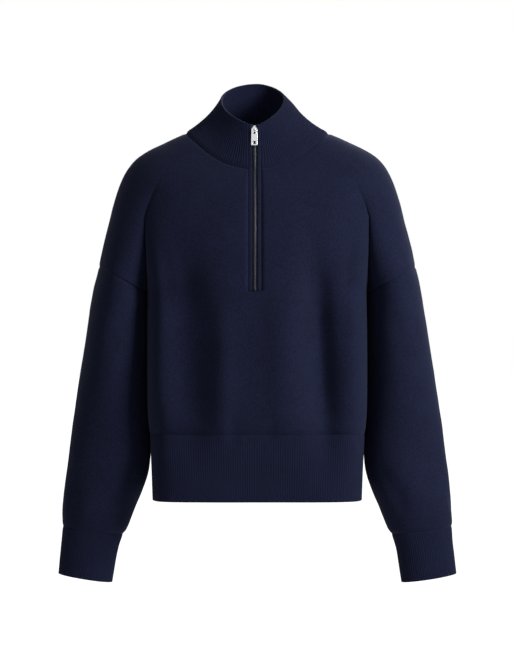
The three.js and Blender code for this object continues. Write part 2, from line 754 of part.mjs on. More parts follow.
function addZip() {
  const line = zipLine();
  const length = rowLength(line);
  const whole = cutLine(line, seamGap, length);
  const coilLine = cutLine(line, 2 * seamGap, length - hingeBelowRim + sliderBottom - seamGap);
  for (const [side, name] of [[1, "right"], [-1, "left"]]) {
    const band = zipStrip(whole, mirroredSpan([bandInner, bandOuter], side), [-bandRaise, bandBack]);
    const tape = zipStrip(whole, mirroredSpan([tapeInner, bandOuter], side), [tapeFront, tapeBack]);
    const coil = zipStrip(coilLine, mirroredSpan([coilInner, coilOuter], side), [coilFront, coilBack]);
    addPiece(garment, "zip_band_" + name, band, navyRib);
    addPiece(garment, "zip_tape_" + name, tape, blackTape);
    addPiece(garment, "zip_coil_" + name, coil, blackCoil);
  }
  const lean = cutLine(line, length - pullLength, length);
  const along = lean[lean.length - 1].clone().sub(lean[0]).normalize();
  const hinge = cutLine(line, length - hingeBelowRim, length)[0];
  hardware.rotation.x = Math.atan2(-along.y, along.z);
  const outwards = point(1, 0, 0).cross(along);
  hardware.position.copy(hinge.addScaledVector(outwards, hingeOut));
  addPiece(hardware, "zip_slider", makeSlider(), polishedSteel);
  addPiece(hardware, "zip_pull", makePull(), polishedSteel);
  garment.add(hardware);
}

addCloth();
addZip();

export default garment;
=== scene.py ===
import bpy, bmesh, math
import numpy as np
from collections import namedtuple
from mathutils import Matrix, Vector, kdtree, noise


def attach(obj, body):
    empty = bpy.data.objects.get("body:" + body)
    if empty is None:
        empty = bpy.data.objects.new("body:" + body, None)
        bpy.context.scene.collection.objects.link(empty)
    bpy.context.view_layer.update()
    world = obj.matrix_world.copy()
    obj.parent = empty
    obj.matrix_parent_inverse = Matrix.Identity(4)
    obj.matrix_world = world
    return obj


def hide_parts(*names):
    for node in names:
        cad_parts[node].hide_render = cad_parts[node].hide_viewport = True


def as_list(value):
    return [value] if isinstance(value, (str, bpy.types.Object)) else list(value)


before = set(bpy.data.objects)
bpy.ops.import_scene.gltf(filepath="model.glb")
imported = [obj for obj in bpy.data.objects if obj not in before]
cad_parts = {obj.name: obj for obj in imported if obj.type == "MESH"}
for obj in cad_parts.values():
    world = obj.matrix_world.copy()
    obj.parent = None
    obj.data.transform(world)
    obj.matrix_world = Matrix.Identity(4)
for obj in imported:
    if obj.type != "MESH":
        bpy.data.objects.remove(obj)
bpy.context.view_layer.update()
mm = 0.001  # tables are in millimetres, meshes in metres
print("frame loaded")

# Sections of the garment

torsoRow = namedtuple("torsoRow", "z half front back power")
torsoTable = [  # body, from the underarm down to the hem seam; power is how square the section is
    torsoRow(-232, 164, 118, 112, 2.9),
    torsoRow(-250, 163.8, 118, 112, 2.92),
    torsoRow(-290, 164, 119, 111.5, 3),
    torsoRow(-330, 164, 120.5, 111, 3.1),
    torsoRow(-370, 163.8, 122.5, 112, 3.25),
    torsoRow(-405, 163.2, 124, 113.5, 3.35),
    torsoRow(-430, 161.6, 123, 113, 3.4),
    torsoRow(-441, 159.8, 118.5, 109.5, 3.4),
]
hemTable = [
    torsoTable[-1],
    torsoRow(-489, 157, 116, 108, 5),
    torsoRow(-538, 155, 113.5, 106.5, 5.8),
]

yokeRow = namedtuple("yokeRow", "frontZ front outerZ outer backZ back split")
yokeTable = [  # rings from the underarm up to the neck seam
    yokeRow(-232, 118, -194, 237, -232, 112, 1),
    yokeRow(-212, 118.5, -177, 233.5, -210, 114, 0.66),
    yokeRow(-190, 118, -155, 228.5, -186, 116, 0.42),
    yokeRow(-165, 116, -128, 221.5, -158, 117, 0.26),
    yokeRow(-138, 112, -97, 213.5, -128, 116, 0.14),
    yokeRow(-114, 107, -70, 205, -100, 113, 0.06),
    yokeRow(-96, 101.5, -50, 195.5, -76, 108.5, 0.02),
    yokeRow(-82, 95.5, -33.5, 182, -54, 102, 0),
    yokeRow(-70, 88.5, -19.5, 162, -34, 94, 0),
    yokeRow(-61.5, 82, -8, 138, -15, 85, 0),
    yokeRow(-56, 77.5, 0.5, 120, 1, 77, 0),
    yokeRow(-51.5, 74, 6, 107, 16, 70, 0),
]
neckPlace = len(yokeTable) - 1

sleeveRow = namedtuple("sleeveRow", "z inner outer depth tilt")
sleeveTable = [  # armhole to cuff seam
    sleeveRow(-213, 164, 237, 80, 19),
    sleeveRow(-236, 163.8, 244, 79, 14),
    sleeveRow(-262, 163.6, 249.5, 76, 9),
    sleeveRow(-300, 163.5, 256.5, 71.5, 4),
    sleeveRow(-340, 163.5, 263, 66.5, 0),
    sleeveRow(-380, 163.3, 269.2, 62, 0),
    sleeveRow(-420, 161.9, 275.2, 58, 0),
    sleeveRow(-455, 158.8, 279.7, 54.5, 0),
    sleeveRow(-485, 160.2, 284, 52, 0),
    sleeveRow(-505, 163.5, 286.5, 50, 0),
    sleeveRow(-525, 170.3, 288.6, 47.5, 0),
    sleeveRow(-545, 178.7, 290.4, 44.5, 1),
    sleeveRow(-565, 187.8, 291.3, 41, 3),
    sleeveRow(-580, 195, 291.2, 37.5, 5),
    sleeveRow(-587, 200.8, 290.2, 34, 6),
]
cuffTable = [
    sleeveTable[-1],
    sleeveRow(-612, 208.2, 292.6, 30.5, 6),
    sleeveRow(-657.5, 215.7, 297, 28, 6.5),
]

form = {
    "valley": 164, "valleyLow": 0.8, "valleyHigh": 0.7,  # where chest and arm meet
    "armDepth": 80, "underarm": -232, "cuffForward": 14, "cuffDrop": 425,
    "chestPower": 2.9, "lowPower": 2.4, "neckPower": 2, "armPower": 2,  # how square the rings are
    "ringRise": 2.2,  # how late a ring turns up or down on its way to the side
    "slitHalf": 9.8, "zipX": -4, "zipReach": 90, "zipDepth": 40,
    "rimHalf": 54.6, "rimAside": -3, "rimFront": 66, "rimBack": 60,  # the collar's free edge
    "rimFrontZ": 12.5, "rimBackZ": 85, "rimRise": 0.75, "collarDraw": 1.55,
    "rollFrom": 0.7, "rollRight": 10, "rollLeft": 3,  # the collar's sides roll inwards
    "foldEnd": 0.42, "foldReach": 3,  # share of a fold that fades at each end; widths it reaches
}
hair = 1e-9  # a share this small still says on which side of the middle a column is

foldRow = namedtuple("foldRow", "side xTop xBottom top bottom width depth")
bodyFolds = [  # side -1 is the front; a depth below 0 is a ridge
    foldRow(-1, -100, -100, -100, -530, 30, 17),
    foldRow(-1, -76, -80, -215, -485, 18, 5),
    foldRow(-1, 80, 104, -115, -540, 20, 25),
    foldRow(-1, -151, -151, -100, -510, 23, -14),
    foldRow(-1, 148, 153, -130, -530, 24, -20),
    foldRow(1, -92, -112, -225, -468, 20, 8),
    foldRow(1, 58, 74, -260, -472, 22, 7),
    foldRow(1, 0, -16, -60, -250, 24, 3),
    foldRow(-1, -46, -48, -230, -480, 17, -5),
    foldRow(-1, 34, 44, -190, -475, 24, -8),
    foldRow(-1, -142, -122, -130, -290, 12, 3.2),
    foldRow(-1, 142, 126, -120, -270, 12, 3.4),
    foldRow(-1, -128, -84, -120, -300, 14, 1.6),
    foldRow(-1, 126, 88, -110, -310, 15, 1.8),
    foldRow(-1, -36, -30, -400, -462, 9, 1.8),
    foldRow(-1, 24, 20, -404, -460, 10, 1.6),
    foldRow(-1, -146, -148, -380, -462, 8, 2.2),
    foldRow(1, -140, -124, -120, -280, 12, 3.2),
    foldRow(1, 141, 120, -130, -300, 12, 3.4),
    foldRow(1, 20, 30, -300, -455, 18, -2.4),
    foldRow(1, -40, -48, -340, -462, 14, 2.4),
    foldRow(1, 118, 126, -300, -460, 13, 3),
    foldRow(1, 96, 60, -100, -240, 18, 1.8),
    foldRow(1, -84, -50, -110, -230, 16, 1.6),
    foldRow(1, -8, -4, -410, -462, 9, 1.6),
]
armFoldRow = namedtuple("armFoldRow", "side xTop xBottom top bottom width depth")
sleeveFolds = [  # side is the arm; x is how far round: 0 underarm, 0.25 front, 0.5 outside
    armFoldRow(1, 0.34, 0.34, -400, -572, 0.09, 5),
    armFoldRow(1, 0.7, 0.7, -300, -520, 0.1, 4),
    armFoldRow(-1, 0.3, 0.3, -350, -560, 0.09, 4.5),
    armFoldRow(-1, 0.66, 0.66, -420, -575, 0.1, 5),
    armFoldRow(1, 0.12, 0.2, -470, -566, 0.035, 2.6),
    armFoldRow(1, 0.22, 0.16, -500, -580, 0.03, 2.2),
    armFoldRow(1, 0.44, 0.49, -520, -582, 0.03, 1.8),
    armFoldRow(1, 0.86, 0.81, -480, -578, 0.04, 2.6),
    armFoldRow(1, 0.2, 0.3, -230, -360, 0.05, 2.4),
    armFoldRow(1, 0.8, 0.7, -240, -380, 0.05, 2.6),
    armFoldRow(-1, 0.14, 0.2, -460, -570, 0.035, 2.8),
    armFoldRow(-1, 0.4, 0.35, -505, -582, 0.03, 2),
    armFoldRow(-1, 0.52, 0.56, -530, -584, 0.03, 1.6),
    armFoldRow(-1, 0.84, 0.89, -470, -576, 0.04, 2.8),
    armFoldRow(-1, 0.18, 0.3, -235, -350, 0.05, 2.6),
    armFoldRow(-1, 0.82, 0.72, -240, -370, 0.05, 2.2),
]


def mix(a, b, share):
    return a + (b - a) * share


def clamp01(value):
    return min(1.0, max(0.0, value))


# Rises from 0 to 1 with a soft start and end
def soft(share):
    share = clamp01(share)
    return share * share * (3 - 2 * share)


def lobe(share, power):
    return max(0.0, 1 - abs(share) ** power) ** (1 / power)


# Smooth curve through the rows of a table; place 2.5 is halfway between rows 2 and 3
def alongRows(rows, place):
    i = min(len(rows) - 2, max(0, int(place)))
    t = place - i
    values = []
    for k in range(len(rows[0])):
        a, b = rows[i][k], rows[i + 1][k]
        slopeA = (b - rows[i - 1][k]) / 2 if i > 0 else b - a
        slopeB = (rows[i + 2][k] - a) / 2 if i + 2 < len(rows) else b - a
        squared = 3 * (b - a) - 2 * slopeA - slopeB
        cubed = 2 * (a - b) + slopeA + slopeB
        values.append(a + t * (slopeA + t * (squared + t * cubed)))
    return type(rows[0])(*values)


# How far all folds together press the cloth in at this place
def pressedIn(folds, side, across, z):
    depth = 0
    for fold in folds:
        down = (fold.top - z) / (fold.top - fold.bottom)
        if fold.side != side or not 0 < down < 1:
            continue
        off = (across - mix(fold.xTop, fold.xBottom, down)) / fold.width
        if abs(off) < form["foldReach"]:
            fading = soft(down / form["foldEnd"]) * soft((1 - down) / form["foldEnd"])
            depth += fold.depth * fading * math.exp(-off * off)
    return depth


# The middle of the front is moved over to the zip's line
def shiftToZip(x, y, z):
    near = clamp01(1 - abs(x) / form["zipReach"]) * clamp01(-y / form["zipDepth"])
    return x + form["zipX"] * near, y, z


def bodyPoint(x, depth, z, facing):
    pressed = pressedIn(bodyFolds, facing, x, z) * clamp01(depth / form["zipDepth"])
    return shiftToZip(x, facing * (depth - pressed), z)


# Shares 0..1 spread from the middle to the side, closer together towards the side
def spreadOut(share):
    return math.sin(share * math.pi / 2)


def bodyDepth(section, x, facing):
    middle = section.front if facing < 0 else section.back
    return middle * lobe(x / section.half, section.power)


def torsoPoint(section, share, facing):
    side = 1 if share >= 0 else -1
    start = form["slitHalf"] if facing < 0 else 0
    x = mix(start, section.half, spreadOut(abs(share)))
    return bodyPoint(side * x, bodyDepth(section, x, facing), section.z, facing)


# share 0..1 runs over the chest to the valley, 1..2 from the valley over the arm
def yokePoint(place, share, facing):
    ring = alongRows(yokeTable, place)
    up = place / neckPlace
    side = 1 if share >= 0 else -1
    share = abs(share)
    split = clamp01(ring.split)
    valley = min(form["valley"], ring.outer * mix(form["valleyLow"], form["valleyHigh"], up))
    armMiddle, armHalf = (valley + ring.outer) / 2, (ring.outer - valley) / 2
    if share <= 1:
        x = mix(form["slitHalf"] if facing < 0 else 0, valley, spreadOut(share))
    else:
        x = armMiddle - armHalf * math.cos(math.pi * (share - 1))
    middle, middleZ = (ring.front, ring.frontZ) if facing < 0 else (ring.back, ring.backZ)
    wide = middle * lobe(min(1, x / ring.outer), mix(form["lowPower"], form["neckPower"], up))
    apart = middle * lobe(x / valley, form["chestPower"])
    if share > 1:
        apart = form["armDepth"] * lobe((x - armMiddle) / armHalf, form["armPower"])
    overArm = clamp01((x - valley) / (ring.outer - valley))
    rise = mix((x / ring.outer) ** form["ringRise"], overArm, split)
    return bodyPoint(side * x, mix(wide, apart, split), mix(middleZ, ring.outerZ, rise), facing)


# around 0..1 runs from the underarm over the front, the outside and the back
def sleevePoint(rows, place, around, arm):
    section = alongRows(rows, place)
    middle, half = (section.inner + section.outer) / 2, (section.outer - section.inner) / 2
    forward = -form["cuffForward"] * clamp01((form["underarm"] - section.z) / form["cuffDrop"])
    pressed = pressedIn(sleeveFolds, arm, around, section.z)
    angle = 2 * math.pi * around
    across = -math.cos(angle) * (half - pressed)
    depth = -math.sin(angle) * (section.depth - pressed)
    return arm * (middle + across), forward + depth, section.z + section.tilt * across / half


# turn -1..1 on front and back alike runs from the left side over the middle to the right
def collarPoint(height, turn, facing):
    neck = yokeTable[-1]
    side = 1 if turn >= 0 else -1
    start = form["slitHalf"] if facing < 0 else 0
    x = mix(start, neck.outer, spreadCollar(abs(turn), start / neck.outer))
    depth = (neck.front if facing < 0 else neck.back) * lobe(x / neck.outer, form["neckPower"])
    middleZ = neck.frontZ if facing < 0 else neck.backZ
    z = mix(middleZ, neck.outerZ, (x / neck.outer) ** form["ringRise"])
    angle = math.asin(min(1, x / neck.outer))
    first = math.asin(start / neck.outer)
    rimFirst = math.asin(start / form["rimHalf"])
    along = (angle - first) / (math.pi / 2 - first)
    rimAngle = mix(rimFirst, math.pi / 2, along)
    rimX = form["rimHalf"] * math.sin(rimAngle)
    rimDepth = (form["rimFront"] if facing < 0 else form["rimBack"]) * math.cos(rimAngle)
    back = clamp01((facing * rimDepth + form["rimFront"]) / (form["rimFront"] + form["rimBack"]))
    rimZ = mix(form["rimFrontZ"], form["rimBackZ"], back ** form["rimRise"])
    drawn = 1 - (1 - height) ** form["collarDraw"]
    rolled = (form["rollRight"] if side > 0 else form["rollLeft"]) * math.sin(along * math.pi / 2)
    rolled *= clamp01((height - form["rollFrom"]) / (1 - form["rollFrom"])) ** 2
    aside = form["rimAside"] * drawn * rimX / form["rimHalf"]
    across = side * (mix(x, rimX, drawn) - rolled) + aside
    return shiftToZip(across, facing * mix(depth, rimDepth, drawn), mix(z, rimZ, height))


# Even steps of angle round the collar, as a share of its half width
def spreadCollar(share, first):
    start = math.asin(first)
    x = math.sin(mix(start, math.pi / 2, share))
    return (x - first) / (1 - first)


# Grids of points in metres: rows go up or on along the piece, columns go round


def gridOf(rows, columns, place):
    return np.array([[place(r, c) for c in columns] for r in rows], dtype=float) * mm


def crossed(across, along):
    normal = np.cross(across, along)
    return normal / np.maximum(np.linalg.norm(normal, axis=-1, keepdims=True), 1e-12)


def gridNormals(grid):
    return crossed(np.gradient(grid, axis=1), np.gradient(grid, axis=0))


def runAlong(grid, axis):
    steps = np.linalg.norm(np.diff(grid, axis=axis), axis=2)
    start = np.zeros_like(np.take(steps, [0], axis=axis))
    return np.cumsum(np.concatenate([start, steps], axis=axis), axis=axis)


# Low unevenness that all cloth has, and how far it is drawn in at a seam
surface = {
    "wide": 0.058, "wideHeight": 1.1 * mm,
    "small": 0.021, "smallHeight": 0.3 * mm, "smallFrom": (7, 3, 5),
    "dip": 1.1 * mm, "reach": 2.6 * mm, "puff": 0.5 * mm, "puffAt": 7 * mm, "puffReach": 3.9 * mm,
    "hem": 0.15, "cuff": 0.3, "side": 0.5, "flank": 0.15,  # share of the dip at these seams
    "quiet": 9 * mm,  # no unevenness this near to where the sleeve lies on the body
}


# 0 where sleeve and body lie against each other, 1 well clear of that
def clearOfArm(p):
    beside = abs(abs(p[0]) - form["valley"] * mm) / surface["quiet"]
    above = (p[2] - form["underarm"] * mm) / surface["quiet"]
    return soft(max(beside, above) - 1)


def rippleAt(p):
    q = Vector(p)
    wide = noise.noise(q / surface["wide"]) * surface["wideHeight"]
    small = noise.noise(q / surface["small"] + Vector(surface["smallFrom"]))
    return (wide + small * surface["smallHeight"]) * clearOfArm(q)


def rippleOf(grid):
    return np.array([[rippleAt(p) for p in row] for row in grid])


def seamDip(distance):
    dip = surface["dip"] * np.exp(-((distance / surface["reach"]) ** 2))
    fromPuff = (distance - surface["puffAt"]) / surface["puffReach"]
    return dip - surface["puff"] * np.exp(-(fromPuff**2))


panel = {
    "wall": 2.4 * mm, "together": 0.01 * mm,
    "chest": 44, "arm": 24,  # columns
    "torsoRows": 56, "yokeRows": 58, "sleeveRows": 92,
    "bodyNear": (0.0, 0.012, 0.03, 0.055), "sleeveNear": (0.0, 0.004, 0.01, 0.018),
}


# Even steps from 0 to 1 with a few closer ones by each end, for the seams
def closeToEnds(count, near):
    even = np.linspace(near[-1], 1 - near[-1], count)
    return [*near[:-1], *even, *[1 - n for n in reversed(near[:-1])]]


# The plain pieces' outer surface as patches; rows go up, columns anticlockwise from above
def makePatches():
    chest = list(np.linspace(0, 1, panel["chest"] + 1))
    arm = [1 + s for s in np.linspace(0, 1, panel["arm"] + 1)[1:]]
    whole = chest + arm
    mirrored = lambda shares: [-max(s, hair) for s in shares]
    frontRow = mirrored(reversed(chest)) + chest
    backRow = list(reversed(chest)) + mirrored(chest[1:])
    backWhole = list(reversed(whole)) + mirrored(whole[1:])
    downwards = reversed(closeToEnds(panel["torsoRows"], panel["bodyNear"]))
    sections = [alongRows(torsoTable, share * (len(torsoTable) - 1)) for share in downwards]
    yokePlaces = [p * neckPlace for p in closeToEnds(panel["yokeRows"], panel["bodyNear"])]
    patches = {
        "torsoFront": gridOf(sections, frontRow, lambda r, c: torsoPoint(r, c, -1)),
        "torsoBack": gridOf(sections, backRow, lambda r, c: torsoPoint(r, c, 1)),
        "yokeRight": gridOf(yokePlaces, whole, lambda r, c: yokePoint(r, c, -1)),
        "yokeLeft": gridOf(yokePlaces, mirrored(reversed(whole)), lambda r, c: yokePoint(r, c, -1)),
        "yokeBack": gridOf(yokePlaces, backWhole, lambda r, c: yokePoint(r, c, 1)),
    }
    rounds = list(np.linspace(0, 1, 2 * panel["arm"] + 1))
    downwards = reversed(closeToEnds(panel["sleeveRows"], panel["sleeveNear"]))
    places = [share * (len(sleeveTable) - 1) for share in downwards]
    for name, side, turns in (("sleeveRight", 1, rounds), ("sleeveLeft", -1, rounds[::-1])):
        onArm = lambda r, c, side=side: sleevePoint(sleeveTable, r, c, side)
        patches[name] = gridOf(places, turns, onArm)
    return patches


# How far each point is drawn in towards the seams along its patch's edges
def dipsOf(name, grid):
    up, across = runAlong(grid, 0), runAlong(grid, 1)
    fromTop, fromEnd = up[-1:] - up, across[:, -1:] - across
    atEnds = np.maximum(seamDip(across), seamDip(fromEnd))
    if name.startswith("torso"):
        return np.maximum(surface["hem"] * seamDip(up), surface["flank"] * atEnds)
    if name.startswith("sleeve"):
        return np.maximum(surface["cuff"] * seamDip(up), seamDip(fromTop))
    overArm = np.zeros(grid.shape[1], bool)
    if name in ("yokeRight", "yokeBack"):
        overArm[-panel["arm"] - 1 :] = True
    if name in ("yokeLeft", "yokeBack"):
        overArm[: panel["arm"] + 1] = True
    dip = np.maximum(seamDip(fromTop), surface["side"] * atEnds)
    return np.maximum(dip, np.where(overArm, seamDip(up), -1))


# Patches that meet are moved in the same direction at their common edge, so no gap opens
def finishSurface(patches):
    names = list(patches)
    points = np.concatenate([patches[n].reshape(-1, 3) for n in names])
    normals = np.concatenate([gridNormals(patches[n]).reshape(-1, 3) for n in names])
    dips = np.concatenate([dipsOf(n, patches[n]).reshape(-1) for n in names])
    tree = kdtree.KDTree(len(points))
    for i, p in enumerate(points):
        tree.insert(p, i)
    tree.balance()
    moved = np.empty_like(points)
    for i, p in enumerate(points):
        same = sorted(index for _, index, _ in tree.find_range(p, panel["together"]))
        normal = Vector(normals[same].sum(axis=0)).normalized()
        outwards = rippleAt(points[same[0]]) - dips[same].max() * clearOfArm(p)
        moved[i] = Vector(p) + normal * outwards
    start = 0
    for n in names:
        count = patches[n].shape[0] * patches[n].shape[1]
        patches[n] = moved[start : start + count].reshape(patches[n].shape)
        start += count
    return patches


# Adds a sheet of these points; its UV map is in metres along the cloth, from the middle column
def addSheet(bm, grid, middle=0, uStart=0.0, vStart=0.0):
    rows, columns = grid.shape[:2]
    across, along = runAlong(grid, 1), runAlong(grid, 0) + vStart
    across = across - across[:, middle : middle + 1] + uStart
    made = bmesh.ops.create_grid(bm, x_segments=columns - 1, y_segments=rows - 1, size=0.5)
    uvLayer = bm.loops.layers.uv.verify()
    uvs = {}
    for v in made["verts"]:
        c, r = round((v.co.x + 0.5) * (columns - 1)), round((v.co.y + 0.5) * (rows - 1))
        uvs[v] = (across[r, c], along[r, c])
        v.co = grid[r, c]
    for face in {f for v in made["verts"] for f in v.link_faces}:
        for loop in face.loops:
            loop[uvLayer].uv = uvs[loop.vert]
    return along


weld = {"cloth": 1e-6, "fine": 1e-7, "plate": 1e-4}  # a plate is still in millimetres then


def closeUp(bm, name, join=weld["cloth"]):
    bmesh.ops.remove_doubles(bm, verts=bm.verts, dist=join)
    bmesh.ops.dissolve_degenerate(bm, edges=bm.edges, dist=weld["fine"])
    for face in bm.faces:
        face.smooth = True
    mesh = bpy.data.meshes.new(name)
    bm.to_mesh(mesh)
    bm.free()
    piece = bpy.data.objects.new(name, mesh)
    bpy.context.scene.collection.objects.link(piece)
    return piece


def thicken(piece):
    solidify = piece.modifiers.new("wall", "SOLIDIFY")
    solidify.thickness = panel["wall"]
    solidify.offset = -1
    return piece


patches = finishSurface(makePatches())
print("outer surface worked out")


def buildPanels():
    chest = panel["chest"]
    front, back = bmesh.new(), bmesh.new()
    slit = form["slitHalf"] * mm
    up = addSheet(front, patches["torsoFront"], middle=chest + 1, uStart=slit)[-1]
    armRise = np.full(panel["arm"], up[-1])
    addSheet(front, patches["yokeRight"], 0, slit, np.concatenate([up[chest + 1 :], armRise]))
    last = patches["yokeLeft"].shape[1] - 1
    addSheet(front, patches["yokeLeft"], last, -slit, np.concatenate([armRise, up[: chest + 1]]))
    up = addSheet(back, patches["torsoBack"], middle=chest)[-1]
    rise = np.concatenate([armRise, up, armRise])
    addSheet(back, patches["yokeBack"], chest + panel["arm"], 0.0, rise)
    return thicken(closeUp(front, "frontPanel")), thicken(closeUp(back, "backPanel"))


def buildSleeve(patch, name):
    bm = bmesh.new()
    addSheet(bm, patches[patch], middle=panel["arm"])
    return thicken(closeUp(bm, name))


frontPanel, backPanel = buildPanels()
sleeves = [buildSleeve("sleeveRight", "sleeveRight"), buildSleeve("sleeveLeft", "sleeveLeft")]
print("panels and sleeves made")

# Ribbed pieces: a folded wall whose ribs stand out on both faces, with a round lip at its free edge

rib = {
    "pitch": 3.45 * mm, "steps": 6, "inside": 0.6,  # height on the inside as a share of the outside
    "fade": 4 * mm, "lipSteps": 6,
    "tuck": 1.6 * mm, "tuckIn": 0.6 * mm,  # how the wall goes under the seam
    "samples": 61,  # points that measure the way round
}
ribbed = {
    "hem": {"wall": 2.6 * mm, "rows": 15, "height": 0.4 * mm, "sink": 0.35 * mm,
            "dip": surface["hem"]},
    "cuff": {"wall": 2.6 * mm, "rows": 13, "height": 0.45 * mm, "sink": 0.4 * mm,
             "dip": surface["cuff"]},
    "collar": {"wall": 3 * mm, "rows": 24, "height": 0.75 * mm, "sink": 0.2 * mm, "dip": 1},
}


# outer has its rows going on towards the free edge; the wall comes back folded over that edge
def foldedWall(outer, kind, closedRound):
    wall = kind["wall"]
    across = np.gradient(outer, axis=1)
    if closedRound:
        across[:, 0] = across[:, -1] = (outer[:, 1] - outer[:, -2]) / 2
    normal = crossed(across, np.gradient(outer, axis=0))
    turns = np.pi * np.arange(outer.shape[1]) / rib["steps"]
    raised = np.abs(np.sin(turns))[:, None] * kind["height"]
    fromSeam = runAlong(outer, 0)[:, :, None]
    grown = np.clip(fromSeam / rib["fade"], 0, 1)
    face = outer + normal * ((raised - kind["sink"]) * grown - kind["dip"] * seamDip(fromSeam))
    inside = outer - normal * (wall + rib["inside"] * raised * grown)
    onwards = outer[-1] - outer[-2]
    onwards /= np.linalg.norm(onwards, axis=1, keepdims=True)
    middle = outer[-1] - normal[-1] * wall / 2
    lip = []
    for i in range(1, rib["lipSteps"]):
        angle = math.pi * i / rib["lipSteps"]
        rise = raised * (1 if angle < math.pi / 2 else rib["inside"])
        radius = wall / 2 + rise * abs(math.cos(angle))
        outwards = normal[-1] * radius * math.cos(angle)
        lip.append(middle + outwards + onwards * wall / 2 * math.sin(angle))
    step = outer[1] - outer[0]
    back = step / np.linalg.norm(step, axis=1, keepdims=True) * rib["tuck"]
    tuckOuter = outer[0] - back - normal[0] * (surface["dip"] + rib["tuckIn"])
    tuckInner = outer[0] - back - normal[0] * wall
    return np.stack([tuckOuter, *face, *lip, *inside[::-1], tuckInner, tuckOuter])


# A column in the middle of the wall, where its two faces meet and close an end
def endColumn(column):
    mirrored = np.concatenate([column[-2::-1], column[-2:-1]])
    middle = (column + mirrored) / 2
    middle[-1] = middle[0]
    return middle[:, None]


def buildRibbed(name, kind, rows, place, closedRound=False, hangs=False):
    shares = np.linspace(0, 1, rib["samples"])
    run = runAlong(gridOf([rows[0], rows[-1]], shares, place), 1).mean(axis=0)
    columns = round(run[-1] / rib["pitch"]) * rib["steps"]
    even = np.interp(np.linspace(0, run[-1], columns + 1), run, shares)
    outer = gridOf(rows, even, place)
    outer = outer + gridNormals(outer) * rippleOf(outer)[:, :, None] * (-1 if hangs else 1)
    if closedRound:
        outer[:, -1] = outer[:, 0]
    if hangs:
        outer = outer[:, ::-1]
    grid = foldedWall(outer, ribbed[kind], closedRound)
    if closedRound:
        grid[:, -1] = grid[:, 0]
    else:
        grid = np.concatenate([endColumn(grid[:, 0]), grid, endColumn(grid[:, -1])], axis=1)
    bm = bmesh.new()
    addSheet(bm, grid, middle=grid.shape[1] // 2)
    return closeUp(bm, name), outer


def hemPlace(facing):
    def place(row, share):
        section = alongRows(hemTable, row)
        x = section.half * spreadOut(2 * share - 1) * -facing
        return bodyPoint(x, bodyDepth(section, x, facing), section.z, facing)

    return place


def cuffPlace(side):
    return lambda row, share: sleevePoint(cuffTable, row, share if side > 0 else 1 - share, side)


def collarPlace(height, share):
    quarter, turn = min(3, int(4 * share)), 4 * share
    facing = -1 if quarter in (0, 3) else 1
    turned = (turn, 2 - turn, 2 - turn, turn - 4)[quarter]
    if quarter >= 2:
        turned = min(turned, -hair)
    return collarPoint(height, turned, facing)


hemRows = list(np.linspace(0, len(hemTable) - 1, ribbed["hem"]["rows"]))
cuffRows = list(np.linspace(0, len(cuffTable) - 1, ribbed["cuff"]["rows"]))
collarRows = list(np.linspace(0, 1, ribbed["collar"]["rows"]))
hemFront, _ = buildRibbed("hemRibFront", "hem", hemRows, hemPlace(-1), hangs=True)
hemBack, _ = buildRibbed("hemRibBack", "hem", hemRows, hemPlace(1), hangs=True)
cuffs = [
    buildRibbed(name, "cuff", cuffRows, cuffPlace(side), closedRound=True, hangs=True)[0]
    for name, side in (("cuffRight", 1), ("cuffLeft", -1))
]
ribbedCollar, collarOuter = buildRibbed("ribbedCollar", "collar", collarRows, collarPlace)
print("ribbed pieces made")

# Zip: u goes across from its middle line and d inwards from the cloth's outer surface, in mm

band = {"u": 7.25, "d": 0.75, "halfU": 3.3, "halfD": 1.45, "square": 2.6, "lean": 0.2,
        "from": 0.2, "past": 0.8}
tape = {"u": 5.4, "d": 3.0, "halfU": 4.1, "halfD": 0.5, "square": 6, "lean": 0,
        "from": 0.5, "past": -0.3}
zipSteps = {"step": 3.0, "turns": 20, "around": 2}  # how finely the strips follow the zip's line
coil = {
    "pitch": 1.5, "from": 1, "belowRim": 12.4,  # its top lies just under the slider's foot
    "inner": -0.5, "outer": 2.9, "thick": 0.95, "front": 0.35, "crown": 1.5, "back": 2.0,
    "steps": 7, "flat": 0.3, "edge": 0.72,  # edge: how much of the depth is left at a turn's edges
}
tack = {"wide": 1.7, "tall": 5.0, "thick": 1.1, "rows": 6, "filled": 0.95, "up": 1, "out": 0.3,
        "bevel": 0.3}


def zipLine():
    right = np.concatenate([patches["yokeRight"][:, 0], collarOuter[1:, 0]])
    left = np.concatenate([patches["yokeLeft"][:, -1], collarOuter[1:, -1]])
    return (right + left) / 2


zipMiddle = zipLine()
zipRuns = runAlong(zipMiddle[:, None], 0)[:, 0] / mm
zipLength = zipRuns[-1]


def onZip(run, u, d):
    at = lambda r: np.array([np.interp(r, zipRuns, zipMiddle[:, k]) for k in range(3)])
    onwards = at(min(run + zipSteps["around"], zipLength)) - at(max(run - zipSteps["around"], 0))
    onwards[0] = 0
    onwards /= np.linalg.norm(onwards)
    inwards = np.cross(onwards, (1, 0, 0))
    return at(run) + (inwards * d + np.array((u, 0, 0))) * mm


